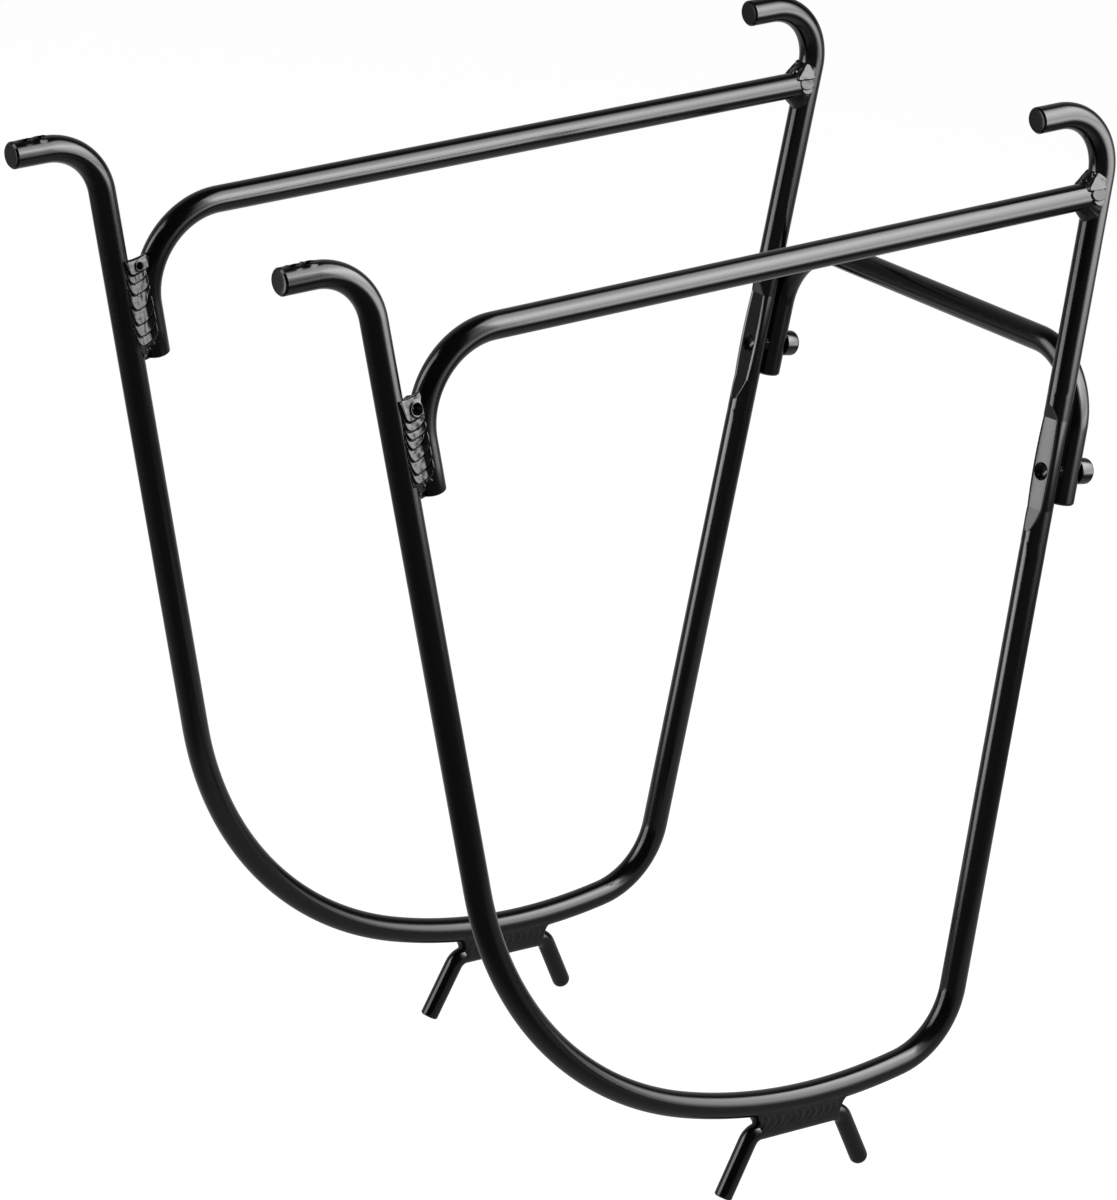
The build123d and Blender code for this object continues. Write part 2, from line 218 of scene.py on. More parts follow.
def axes_matrix(x_axis, y_axis, z_axis, origin):
    """4x4 matrix from three axes and an origin."""
    matrix = np.eye(4)
    matrix[:3] = np.stack([x_axis, y_axis, z_axis, origin], -1)
    return matrix


def closed_mesh(name, points, faces):
    """Closed mesh from points in metres, with every face turned outwards."""
    mesh = bpy.data.meshes.new(name)
    mesh.from_pydata([tuple(p) for p in points], [], faces)
    mesh.validate()
    work = bmesh.new()
    work.from_mesh(mesh)
    bmesh.ops.recalc_face_normals(work, faces=work.faces)
    work.to_mesh(mesh)
    work.free()
    return mesh


def new_piece(name, points, faces, material, sharp=SHARP):
    """Mesh object from points in metres, smooth except across sharp edges."""
    mesh = closed_mesh(name, points, faces)
    mesh.shade_smooth()
    mesh.set_sharp_from_angle(angle=sharp)
    mesh.materials.append(material)
    piece = in_scene(name, mesh)
    return piece


def ring_faces(rings, segments):
    """Quads between closed rings, with a fan to the pole before and after them."""
    faces = []
    for r in range(rings - 1):
        a, b = 1 + r * segments, 1 + (r + 1) * segments
        for k in range(segments):
            n = (k + 1) % segments
            faces.append((a + k, a + n, b + n, b + k))
    last = 1 + (rings - 1) * segments
    tip = last + segments
    for k in range(segments):
        n = (k + 1) % segments
        faces.append((0, 1 + n, 1 + k))
        faces.append((last + k, last + n, tip))
    return faces


def cut_profile(radius, chamfer):
    """Rings (distance in from the end, radius) of a sawn end with a softened chamfer."""
    soft = 0.12
    return [
        (0.0, 0.45 * radius),
        (0.0, radius - chamfer - soft),
        (0.25 * soft, radius - chamfer + 0.35 * soft),
        (chamfer - soft * 0.35, radius - 0.25 * soft),
        (chamfer + soft, radius),
    ]


def round_profile(radius, rounding):
    """Rings (distance in from the end, radius) of a well rounded end."""
    turns = np.linspace(0.06, pi / 2, 9)
    return [(rounding * (1 - cos(q)), radius - rounding + rounding * sin(q)) for q in turns]


def rod_rings(route, radius, stations, start_cut, end_cut, section=None):
    """First pole, rings and last pole of a rod, as (x, out, z) points in the frame's plane."""
    angles = np.linspace(0, 2 * pi, SEGMENTS, endpoint=False)
    last = route.length

    def ring(run, size):
        centre, heading = route.at(run)
        across = np.array([-sin(heading), cos(heading)])
        if section is not None and size == radius:
            side, out = section(run)
        else:
            side, out = size * np.cos(angles), size * np.sin(angles)
        flat = centre + np.multiply.outer(side, across)
        return np.stack([flat[:, 0], out, flat[:, 1]], -1)

    def pole(run):
        centre, _ = route.at(run)
        return np.array([centre[0], 0.0, centre[1]])

    begin = start_cut[-1][0] + 0.1 if start_cut else -1.0
    finish = last - end_cut[-1][0] - 0.1 if end_cut else last + 1.0
    rings = [ring(depth, size) for depth, size in start_cut]
    rings += [ring(run, radius) for run in stations if begin < run < finish]
    rings += [ring(last - depth, size) for depth, size in reversed(end_cut)]
    return pole(0.0), rings, pole(last)


def rod_piece(name, poles_and_rings, place, side, material):
    """Rod object from its rings, placed by a function of (points, side)."""
    start, rings, end = poles_and_rings
    points = np.concatenate([start[None]] + rings + [end[None]])
    faces = ring_faces(len(rings), SEGMENTS)
    return new_piece(name, place(points, side), faces, material)


def turned(rings, segments):
    """Points and faces of a solid turned about +Z from rings (height, radius or function)."""
    angles = np.linspace(0, 2 * pi, segments, endpoint=False)
    points = [(0.0, 0.0, rings[0][0])]
    for height, radius in rings:
        sizes = radius(angles) if callable(radius) else np.full(segments, radius)
        points += [(s * cos(a), s * sin(a), height) for a, s in zip(angles, sizes)]
    points.append((0.0, 0.0, rings[-1][0]))
    return np.array(points), ring_faces(len(rings), segments)


def thread_radius(height, minor, major):
    """Radius by angle of a helical thread at a height: a soft triangle wave."""
    def radius(angles):
        phase = (height / SCREW_PITCH - angles / (2 * pi)) % 1.0
        wave = np.abs(phase * 2 - 1)
        wave = np.clip(wave * 1.25 - 0.12, 0, 1)
        return minor + (major - minor) * wave
    return radius


def bolt_frame(side):
    """4x4 matrix of a bolt in metres: origin on the leg's centreline, +Z rearward."""
    point = rear_leg_point(BOLT_STATION)
    origin = to_row([point[0], 0.0, point[1]], side)
    leg = np.array([
        cos(LEG_ANGLE),
        side * -sin(LEG_ANGLE) * sin(FRAME_LEAN),
        sin(LEG_ANGLE) * cos(FRAME_LEAN),
    ])
    leg -= REARWARD * leg.dot(REARWARD)
    leg /= np.linalg.norm(leg)
    return axes_matrix(np.cross(leg, REARWARD), leg, REARWARD, origin)


def placed(matrix, points):
    """Points in mm moved by a matrix whose origin is in metres."""
    return np.asarray(points) / 1000 @ matrix[:3, :3].T + matrix[:3, 3]


def carve(piece, cutters):
    """Cut the cutters out of a piece exactly, and keep the result as its mesh."""
    for tool in cutters:
        modifier = piece.modifiers.new("cut", "BOOLEAN")
        modifier.operation = "DIFFERENCE"
        modifier.solver = "EXACT"
        modifier.object = tool
    bpy.context.view_layer.update()
    evaluated = piece.evaluated_get(bpy.context.evaluated_depsgraph_get())
    mesh = bpy.data.meshes.new_from_object(evaluated)
    piece.modifiers.clear()
    piece.data = mesh
    mesh.shade_smooth()
    mesh.set_sharp_from_angle(angle=SHARP)
    for tool in cutters:
        bpy.data.objects.remove(tool)
    return piece


def cutter(name, points, faces):
    """Closed mesh used only to cut another one."""
    return in_scene(name, closed_mesh(name, points, faces))


# ---- materials

def feed(tree, socket, value):
    """Link an output into a socket, or set the socket to a constant."""
    if hasattr(value, "links"):
        tree.links.new(value, socket)
    else:
        socket.default_value = value


def add_node(tree, kind, inputs=None, **settings):
    """New shader node with its settings made and its inputs fed, by name or position."""
    node = tree.nodes.new("ShaderNode" + kind)
    for key, value in settings.items():
        setattr(node, key, value)
    for key, value in (inputs or {}).items():
        feed(tree, node.inputs[key], value)
    return node


def map_range(tree, value, low, high, to_low=0.0, to_high=1.0, shape="LINEAR"):
    """Map a value's range onto another, clamped."""
    inputs = {"Value": value, "From Min": low, "From Max": high,
              "To Min": to_low, "To Max": to_high}
    return add_node(tree, "MapRange", inputs, interpolation_type=shape).outputs["Result"]


def tint(grey, blue):
    """Colour with equal red and green and its own blue."""
    return (grey, grey, blue, 1.0)


class Nodes:
    """Short way to build a material's node tree."""

    def __init__(self, name):
        self.material = bpy.data.materials.new(name)
        self.material.use_nodes = True
        self.tree = self.material.node_tree
        self.coords = add_node(self.tree, "TexCoord").outputs["Object"]

    def noise(self, size_mm, detail=2.0, rough=0.5):
        """Noise between 0 and 1 with features of a given size in millimetres."""
        inputs = {"Vector": self.coords, "Scale": 1000.0 / size_mm, "Detail": detail,
                  "Roughness": rough}
        return add_node(self.tree, "TexNoise", inputs).outputs["Fac"]

    def spread(self, value, low, high, to_low=0.0, to_high=1.0):
        """Map a value's range onto another, clamped."""
        return map_range(self.tree, value, low, high, to_low, to_high)

    def blend(self, factor, dark, light):
        """Mix two colours by a factor."""
        node = add_node(self.tree, "Mix", {0: factor, 6: dark, 7: light}, data_type="RGBA")
        return node.outputs[2]

    def bump(self, height, distance_mm, normal=None):
        """Normal of a surface raised by a height, over another normal or the mesh's own."""
        inputs = {"Strength": 1.0, "Distance": distance_mm / 1000.0, "Height": height}
        if normal is not None:
            inputs["Normal"] = normal
        return add_node(self.tree, "Bump", inputs).outputs["Normal"]

    def shade(self, colour, roughness, normal, ior):
        """Feed the shader, and give the material back."""
        sockets = self.tree.nodes["Principled BSDF"].inputs
        for key, value in (("Base Color", colour), ("Roughness", roughness),
                           ("Normal", normal), ("IOR", ior)):
            feed(self.tree, sockets[key], value)
        return self.material


def rod_black():
    """Glossy black finish with a fine mottled grain, cloudy patches and slightly uneven gloss."""
    n = Nodes("gloss_black_rod")
    grain = n.noise(0.55, detail=3.0, rough=0.65)
    cloud = n.noise(9.0, detail=3.0)
    colour = n.blend(n.spread(grain, 0.3, 0.7), tint(0.0003, 0.00033), tint(0.0012, 0.00125))
    colour = n.blend(n.spread(cloud, 0.55, 0.75, 0.0, 0.5), colour, tint(0.0018, 0.0019))
    rough = n.spread(grain, 0.25, 0.75, 0.10, 0.18)
    peel = n.bump(n.noise(2.2, detail=1.0), 0.0028)
    return n.shade(colour, rough, n.bump(grain, 0.0060, peel), 1.5)


def weld_black():
    """The same finish over weld metal, a little duller, grainier and more cloudy."""
    n = Nodes("satin_black_weld")
    grain = n.noise(0.42, detail=4.0, rough=0.7)
    cloud = n.noise(3.0, detail=2.0)
    colour = n.blend(n.spread(grain, 0.3, 0.7), tint(0.0004, 0.00043), tint(0.0022, 0.0023))
    colour = n.blend(n.spread(cloud, 0.5, 0.7, 0.0, 0.5), colour, tint(0.0035, 0.0036))
    rough = n.spread(grain, 0.25, 0.75, 0.16, 0.28)
    coarse = n.bump(n.noise(1.3, detail=2.0), 0.018)
    return n.shade(colour, rough, n.bump(grain, 0.007, coarse), 1.5)


def screw_black():
    """Blackened steel with a fine shallow grain, a little duller than the rods."""
    n = Nodes("blackened_screw")
    grain = n.noise(0.3, detail=3.0, rough=0.6)
    colour = n.blend(n.spread(grain, 0.3, 0.7), tint(0.0006, 0.00065), tint(0.0022, 0.0023))
    rough = n.spread(grain, 0.3, 0.7, 0.14, 0.24)
    return n.shade(colour, rough, n.bump(grain, 0.0022), 1.6)


# ---- rods

SAWN = cut_profile(ROD_R, 0.7)


def hoop_section(run):
    """Section of the hoop rod: round, but pressed flat on the front of part of the rear leg.

    The first quarter of the vertices spans the flat, so its edges stay crisp. Past the flat's
    ends that quarter opens out to an even share of the circle."""
    station = HOOK_BEND - run
    floor = FLAT_FLOOR
    if station < FLAT_TOP:
        floor += (FLAT_TOP - station) * FLAT_SLOPE_TOP
    if station > FLAT_BOTTOM:
        floor += (station - FLAT_BOTTOM) * FLAT_SLOPE_BOTTOM
    across_count = SEGMENTS // 4
    shallowest, narrowest, opened = 0.004, radians(2.3), 2.4
    flat = np.linspace(-1, 1, across_count + 1)
    if floor < ROD_R - shallowest:
        half = acos(floor / ROD_R)
        out_flat = ROD_R * sin(half) * flat
        side_flat = floor - sin(FLAT_TWIST) * out_flat * (1 - flat ** 2) ** 0.15
    else:
        half = max(narrowest, radians(45.0) * min(1.0, (floor - ROD_R) / opened))
        out_flat = ROD_R * np.sin(half * flat)
        side_flat = ROD_R * np.cos(half * flat)
    around = np.linspace(half, 2 * pi - half, SEGMENTS - across_count + 1)[1:-1]
    side = np.concatenate([side_flat, ROD_R * np.cos(around)])
    out = np.concatenate([out_flat, ROD_R * np.sin(around)])
    middle, half_length = (FLAT_TOP + FLAT_BOTTOM) / 2, (FLAT_BOTTOM - FLAT_TOP) / 2
    bulge = FLAT_SWELL * max(0.0, 1 - ((station - middle) / half_length) ** 2)
    out *= 1 + bulge * np.exp(-((side - FLAT_FLOOR) / 3.2) ** 2)
    return side, out


def thinned(runs):
    """Sorted distances, without those too close behind the last one kept."""
    kept = []
    for run in sorted(runs):
        if not kept or run - kept[-1] > CLOSEST_RINGS:
            kept.append(run)
    return kept


def hoop_stations():
    """Rings for the hoop: dense at the drilled peg and the pressed flat."""
    runs = HOOP.stations(STRAIGHT_STEP, BEND_STEP)
    runs += list(np.arange(0.9, 15.0, 0.45))
    for begin, end, step in ((84.0, 96.0, 0.3), (96.0, 126.0, 1.2), (126.0, 141.0, 0.3)):
        runs += [HOOK_BEND - q for q in np.arange(begin, end, step)]
    for crease in (FLAT_TOP, FLAT_BOTTOM):
        runs += [HOOK_BEND - crease - 0.06, HOOK_BEND - crease, HOOK_BEND - crease + 0.06]
    return thinned(round(run, 4) for run in runs)


def raise_burrs(points):
    """Lift the peg's surface into a thin uneven burr round the mouth of each cross hole."""
    if points[0, 0] > PEG_LENGTH + 3:
        return points
    points = points.copy()
    for hole, lift in zip(PEG_HOLES, BURR_LIFT):
        x, out, z = points.T
        away = np.hypot(x - hole, out)
        turn = np.arctan2(out, x - hole)
        uneven = 1 + 0.35 * np.sin(2 * turn + hole) + 0.25 * np.sin(5 * turn)
        rise = lift * uneven * np.exp(-((away - BURR_R) / BURR_WIDTH) ** 2) * (z > 1.0)
        points[:, 1] += rise * out / ROD_R
        points[:, 2] += rise * z / ROD_R
    return points


def hoop_rod(side, name, material):
    """Hoop rod with two countersunk peg holes and the tapped hole in the pressed flat."""
    start, rings, end = rod_rings(HOOP, ROD_R, hoop_stations(), SAWN, SAWN, hoop_section)
    rings = [raise_burrs(ring) for ring in rings]
    rod = rod_piece(name, (start, rings, end), to_row, side, material)
    tools = []
    upper = [(4.3, PEG_HOLE_R), (4.55, PEG_HOLE_R + 0.1), (5.2, COUNTERSINK_R),
             (6.5, COUNTERSINK_R)]
    for hole in PEG_HOLES:
        points, faces = turned([(-height, r) for height, r in reversed(upper)] + upper, 40)
        points = to_row(points + np.array([hole, 0, 0]), side)
        tools.append(cutter("drill", points, faces))
    profile = []
    for height in np.arange(-4.2, 2.6, THREAD_STEP):
        mouth = HOLE_MAJOR + 0.5 - (height + FLAT_FLOOR)
        thread = thread_radius(height, HOLE_MINOR, HOLE_MAJOR)
        profile.append((height, lambda a, m=mouth, t=thread: np.maximum(t(a), m)))
    points, faces = turned(profile, 48)
    tools.append(cutter("tap", placed(bolt_frame(side), points), faces))
    return carve(rod, tools)


def rail_route():
    """Centreline of the top rail, from its lower front end to the rear leg."""
    start = front_leg_point(RAIL_TAIL_TOP + RAIL_TAIL, RAIL_OFFSET)
    turn = 180 - degrees(LEG_ANGLE)
    bend_end = front_leg_point(RAIL_TAIL_TOP, RAIL_OFFSET)[0] + RAIL_BEND_R * sin(radians(turn))
    return Route(start, turn, [(RAIL_TAIL,), (RAIL_BEND_R, -turn), (JUNCTION[0] - bend_end,)])


def top_rail(side, name, material):
    """Top rail, its rear end coped round the rear leg."""
    route = rail_route()
    stations = route.stations(STRAIGHT_STEP, BEND_STEP)
    stations = [run for run in stations if run < route.length - 11.0]
    start, rings, _ = rod_rings(route, ROD_R, stations, cut_profile(ROD_R, 0.4), [])
    template = rings[-1]
    out, up = template[:, 1], template[:, 2] - RAIL_LEVEL
    for part in (1.0, 0.6, 0.2):
        o, u = out * part, up * part
        reach = np.sqrt(np.maximum(ROD_R ** 2 - o ** 2, 0.0))
        x = JUNCTION[0] + (u * cos(LEG_ANGLE) - reach) / sin(LEG_ANGLE)
        rings.append(np.stack([x, o, RAIL_LEVEL + u], -1))
    end = np.array([JUNCTION[0] - ROD_R / sin(LEG_ANGLE), 0.0, RAIL_LEVEL])
    return rod_piece(name, (start, rings, end), to_row, side, material)


def bracket_centre():
    """Middle of the foot bracket's straight run."""
    rise = sqrt(BOW_R ** 2 - (BRACKET_X - BOW_CENTRE[0]) ** 2)
    return np.array([BRACKET_X, BOW_CENTRE[1] - rise - BRACKET_DROP])


def bend_tangent(radius, turn):
    """Length that a bend takes off the straight on each side of its corner."""
    return radius * sin(turn) / (1 + cos(turn))


def foot_bracket(side, name, material):
    """Foot bracket: a level run with two splayed legs; the front leg's tip is sawn with a chamfer,
    the rear one's is well rounded.
    """
    turn = pi / 2 - BRACKET_SPLAY
    tangent = bend_tangent(BRACKET_BEND_R, turn)
    leg = np.array([-sin(BRACKET_SPLAY), -cos(BRACKET_SPLAY)]) * BRACKET_LEG
    start = rotate(np.array([-BRACKET_SPAN / 2, 0.0]) + leg, -BRACKET_TILT) + bracket_centre()
    bend, leg_run = (BRACKET_BEND_R, -degrees(turn)), (BRACKET_LEG - tangent,)
    moves = [leg_run, bend, (BRACKET_SPAN - 2 * tangent,), bend, leg_run]
    route = Route(start, degrees(turn - BRACKET_TILT), moves)
    rings = rod_rings(route, BRACKET_R, route.stations(3.0, 0.5),
                      cut_profile(BRACKET_R, 0.55), round_profile(BRACKET_R, 2.9))
    return rod_piece(name, rings, to_row, side, material)


def crossbar_place(points, side):
    """Crossbar points (across, off its plane, up its plane) in mm, as metres in the model's frame.

    The bar spans both side frames, so the side isn't used."""
    bolt = bolt_frame(1)
    up = np.array([cos(CROSSBAR_SLOPE), 0.0, sin(CROSSBAR_SLOPE)])
    origin = np.array([bolt[0, 3], 0.0, bolt[2, 3]]) * 1000 + REARWARD * 2 * ROD_R
    across = np.array([0.0, 1.0, 0.0])
    out = origin + points[:, :1] * across + points[:, 1:2] * REARWARD + points[:, 2:] * up
    return out / 1000


def crossbar(material):
    """Crossbar: an upside-down U behind the rear legs, drilled and spot-faced for the screws."""
    lean = np.arcsin(sin(LEG_ANGLE) * sin(FRAME_LEAN))
    half = bolt_frame(1)[1, 3] * 1000
    below = CROSSBAR_END - BOLT_STATION
    above = (BOLT_STATION - CROSSBAR_TOP) * cos(lean)
    turn = pi / 2 - lean
    tangent = bend_tangent(CROSSBAR_BEND_R, turn)
    corner = half - above * np.tan(lean)
    upright = above / cos(lean) + below - tangent
    start = (-half - below * sin(lean), -below * cos(lean))
    bend = (CROSSBAR_BEND_R, -degrees(turn))
    moves = [(upright,), bend, (2 * (corner - tangent),), bend, (upright,)]
    route = Route(start, degrees(turn), moves)
    drilled = list(np.arange(1.2, 22.0, 0.6))
    stations = route.stations(8.0, BEND_STEP) + drilled + [route.length - q for q in drilled]
    rings = rod_rings(route, ROD_R, thinned(stations), SAWN, SAWN)
    bar = rod_piece("crossbar_rod", rings, crossbar_place, 1, material)
    tools = []
    profile = [(2.0, CROSSBAR_HOLE_R), (SEAT, CROSSBAR_HOLE_R),
               (SEAT, SPOTFACE_R), (SEAT + 4, SPOTFACE_R)]
    for side in (-1, 1):
        points, faces = turned(profile, 56)
        tools.append(cutter("drill", placed(bolt_frame(side), points), faces))
    return carve(bar, tools)


def screw(side, name, material):
    """Socket-head screw with a cut thread and a hexagon socket."""
    tip = SEAT - SCREW_LENGTH
    top = SEAT + HEAD_HEIGHT
    profile = [(tip + 1.15, 0.3), (tip + 0.12, 2.0), (tip, SCREW_MINOR - 0.3)]
    for height in np.arange(tip + 0.3, SEAT - 1.2, THREAD_STEP):
        profile.append((height, thread_radius(height, SCREW_MINOR, SCREW_MAJOR)))
    profile += [(SEAT - 1.0, SHANK_R), (SEAT, SHANK_R), (SEAT, HEAD_R - 0.25),
                (SEAT + 0.06, HEAD_R - 0.08), (SEAT + 0.25, HEAD_R)]
    for q in np.linspace(0, pi / 2, 8):
        profile.append((top - HEAD_ROUND + HEAD_ROUND * sin(q),
                        HEAD_R - HEAD_ROUND + HEAD_ROUND * cos(q)))
    profile += [(top, SOCKET_RIM_R), (top - 0.25, SOCKET_MOUTH_R)]
    points, faces = turned(profile, 48)
    body = new_piece(name, placed(bolt_frame(side), points), faces, material)
    corner = SOCKET_FLATS / 2 / cos(pi / 6)
    hexagon = [(corner * cos(q), corner * sin(q)) for q in np.arange(6) * pi / 3]
    floor = top - SOCKET_DEPTH
    points = [(0, 0, floor - 0.9)] + [(x, y, floor) for x, y in hexagon]
    points += [(x, y, top + 2) for x, y in hexagon] + [(0, 0, top + 2)]
    tool = cutter("key", placed(bolt_frame(side), np.array(points)), ring_faces(2, 6))
    return carve(body, [tool])


# ---- welds

def sheet_solid(top, bottom):
    """Points and faces of a closed solid between two grids (rows, columns, 3)."""
    rows, cols = top.shape[:2]
    points = np.concatenate([top.reshape(-1, 3), bottom.reshape(-1, 3)])
    under = rows * cols
    faces = []
    for i in range(rows - 1):
        for j in range(cols - 1):
            a, b, c, d = i * cols + j, i * cols + j + 1, (i + 1) * cols + j + 1, (i + 1) * cols + j
            faces.append((a, b, c, d))
            faces.append((under + d, under + c, under + b, under + a))
    edge = [(0, j) for j in range(cols)] + [(i, cols - 1) for i in range(1, rows)]
    edge += [(rows - 1, j) for j in range(cols - 2, -1, -1)]
    edge += [(i, 0) for i in range(rows - 2, 0, -1)]
    loop = [i * cols + j for i, j in edge]
    for a, b in zip(loop, loop[1:] + loop[:1]):
        faces.append((b, a, under + a, under + b))
    return points, faces


def weld_underside(top, rods, sink):
    """Underside of a weld, sunk into the rods, and its top kept just above that."""
    under = np.clip(np.minimum(rods - sink, top - 0.3), 0.03, None)
    return np.maximum(top, under + 0.05), under


def smooth_step(value, low, high):
    """Smooth rise from 0 to 1 between two values."""
    t = np.clip((value - low) / (high - low), 0, 1)
    return t * t * (3 - 2 * t)


def wobble(u, v, seed, size):
    """Smooth irregularity between about -1 and 1, from a few sine waves."""
    rng = np.random.default_rng(seed)
    total = np.zeros(np.broadcast(u, v).shape)
    for _ in range(7):
        angle, phase = rng.uniform(0, 2 * pi, 2)
        pitch = size * rng.uniform(0.7, 1.6)
        total += np.sin((u * cos(angle) + v * sin(angle)) * 2 * pi / pitch + phase)
    return total / 3.5


# Lower edges of the weld's overlapping scales, from the top one: (distance down the leg,
# distance across the groove) of each edge's left end, lowest point and right end
SCALES = np.array([
    ((34.3, -4.0), (39.4, -1.6), (38.8, 5.1)),
    ((38.7, -4.3), (42.7, -1.5), (40.6, 4.6)),
    ((41.6, -4.5), (46.3, -1.6), (44.9, 3.6)),
    ((45.1, -4.7), (49.7, -2.1), (46.6, 3.2)),
    ((49.2, -4.9), (54.2, -2.5), (50.8, 4.0)),
    ((54.3, -4.8), (59.1, -2.3), (56.3, 3.9)),
    ((58.6, -4.8), (62.6, -2.3), (60.5, 3.9)),
])
# The right frame's inner face has a shorter first scale
SHORT_SHIFT = np.array([-5.6, -5.0, -4.0, -1.6, -0.4, 0.0, 0.0])
SHORT_SCALES = SCALES + SHORT_SHIFT[:, None, None] * np.array([1.0, 0.0])
# Front welds by (side, outward): top, sag of the top edge, scales, and the crater's distance down
# the leg, distance across and radius
FRONT_WELDS = {
    (-1, 1): (29.9, 2.8, SCALES, (35.3, 1.9, 1.75)),
    (1, -1): (27.2, 2.8, SHORT_SCALES, (30.7, 1.4, 1.15)),
    (-1, -1): (34.0, 0.4, SCALES, (36.9, 1.2, 0.9)),
    (1, 1): (33.2, 0.4, SCALES, (36.3, 1.4, 1.0)),
}
# Front welds: left edge across the groove, width at the top, and lowest point down the leg
BEAD_LEFT, BEAD_WIDTH, BEAD_BOTTOM = -5.9, 11.6, 70.6


def rail_across(station):
    """Distance across the groove to the rail's axis, and the cosine of its slope there."""
    above = np.clip(RAIL_TAIL_TOP - station, 0.0, 0.95 * RAIL_BEND_R)
    slope = np.sqrt(1 - (above / RAIL_BEND_R) ** 2)
    return RAIL_OFFSET / 2 + RAIL_BEND_R * (1 - slope), slope


def rod_height(station, v):
    """Height over the frame's plane of the leg's and the rail's surface."""
    rail, slope = rail_across(station)
    near = np.minimum(np.abs(v + RAIL_OFFSET / 2), np.abs(v - rail) * slope)
    return np.sqrt(np.maximum(ROD_R ** 2 - near ** 2, 0.0))


def scale_edge(scale, v):
    """Distance down the leg of a scale's lower edge, and how steeply the edge runs there."""
    (left, left_v), (low, low_v), (right, right_v) = scale
    reach = np.where(v < low_v, left_v - low_v, right_v - low_v)
    rise = np.where(v < low_v, low - left, low - right)
    t = np.clip((v - low_v) / reach, 0, 1.25)
    round_t = np.minimum(t, 0.96)
    root = np.sqrt(1 - round_t ** 2)
    return low - rise * (1 - root + 3.0 * (t - round_t)), rise * round_t / root / reach


def front_bead_height(station, v, seed, scales, crater):
    """Height over the frame's plane of the rippled bead between leg and rail."""
    rng = np.random.default_rng(seed)
    shaken = scales + rng.uniform(-0.25, 0.25, (len(scales), 1, 1)) * np.array([1.0, 0.0])
    waver = 0.16 * wobble(station, v, seed + 1, 6.0)
    edges = [scale_edge(scale, v) for scale in shaken]
    valley = 4.1 - 2.5 * smooth_step(station, 41.0, 49.0)
    level = 4.86 - 0.12 * (np.minimum(v, valley) + 2) + 0.17 * np.maximum(v - valley, 0)
    height = level - 0.5 * smooth_step(station, 60.0, 66.0)
    upper = np.full(station.shape, 27.0)
    # each scale rises steeply from its lower edge, then slopes down to the scale above
    for (edge, steep), crest in zip(edges, rng.uniform(0.85, 1.1, len(edges))):
        up = edge - station + waver
        square = up / np.hypot(1.0, steep)
        length = np.maximum(edge - upper, 2.2)
        rise = smooth_step(square, 0.0, 1.25)
        fall = 1 - 0.92 * np.clip((up - 1.0) / length, 0, 1)
        height = np.where((up > 0) & (station > upper), level + crest * rise * fall, height)
        upper = edge + waver
    # the large first scale, with a crater at its lower right
    first = edges[0][0] - station
    dome = 6.05 - 0.27 * np.clip(first - 1.2, 0, 11) - 0.10 * v - 0.22 * np.clip(v - 4.2, 0, 9) ** 2
    dome = np.maximum(dome, 1.5)
    height = np.where(first > 0, 4.4 + (dome - 4.4) * smooth_step(first, 0.0, 1.3), height)
    rim = np.hypot(station - crater[0], v - crater[1]) / crater[2]
    height += 0.50 * np.exp(-((rim - 1.25) / 0.36) ** 2) * (first > 0)
    height -= 2.3 * np.exp(-rim ** 3 * 1.3)
    # the tail, dropping away along the leg past the rail's end, with small splashes
    height -= 1.5 * smooth_step(station, 62.5, 68.8) + 2.2 * smooth_step(station, 66.5, 70.4)
    splash = smooth_step(v, -1.5, 1.0) * np.exp(-((station - 64.5) / 2.4) ** 2)
    height += 0.5 * splash * wobble(station, v, seed + 4, 2.2)
    return height + 0.055 * wobble(station, v, seed + 2, 2.4)


def front_weld(outward, name, side, material, seed):
    """Stack of scales with a crater in the top one, filling the fork of leg and rail."""
    q, r = np.meshgrid(np.linspace(0, 1, 96), np.linspace(0, 1, 270))
    highest, saddle, scales, crater = FRONT_WELDS[side, outward]
    top = highest - 0.045 * (BEAD_LEFT + q * BEAD_WIDTH + 0.6) ** 2
    station = top + r * (BEAD_BOTTOM - top)
    limit = np.maximum(5.4, rail_across(station)[0] - ROD_R)
    v = BEAD_LEFT + q * (limit - BEAD_LEFT)
    height = front_bead_height(station, v, seed, scales, crater)
    rods = rod_height(station, v)
    left = smooth_step(-v, 3.9 + 0.9 * smooth_step(station, 34, 46), 5.5)
    right = smooth_step(v, limit - 1.1, limit - 0.1)
    toe = np.maximum(left, right)
    fill = height * (1 - toe) + (rods - 0.25) * toe
    opening = np.clip((station - top) / 1.5, 0, 1)
    closing = 1 - smooth_step(station, 68.2, 70.5)
    fill *= np.sqrt(np.clip(1 - (1 - opening) ** 2, 0, 1) * closing)
    fill = np.where(toe > 0.999, np.minimum(fill, rods - 0.2), fill)
    fill, under = weld_underside(fill, rods, 0.5)

    def grid(level):
        # the top edge sags towards the middle of the frame, like a saddle
        sag = saddle * (1 - np.clip(level / 4.0, 0, 1)) * np.exp(-((station - top) / 2.5) ** 2)
        flat = front_leg_point(station + sag, v + RAIL_OFFSET / 2)
        return np.stack([flat[..., 0], outward * level, flat[..., 1]], -1)

    points, faces = sheet_solid(grid(fill), grid(under))
    return new_piece(name, to_row(points, side), faces, material, WELD_SHARP)


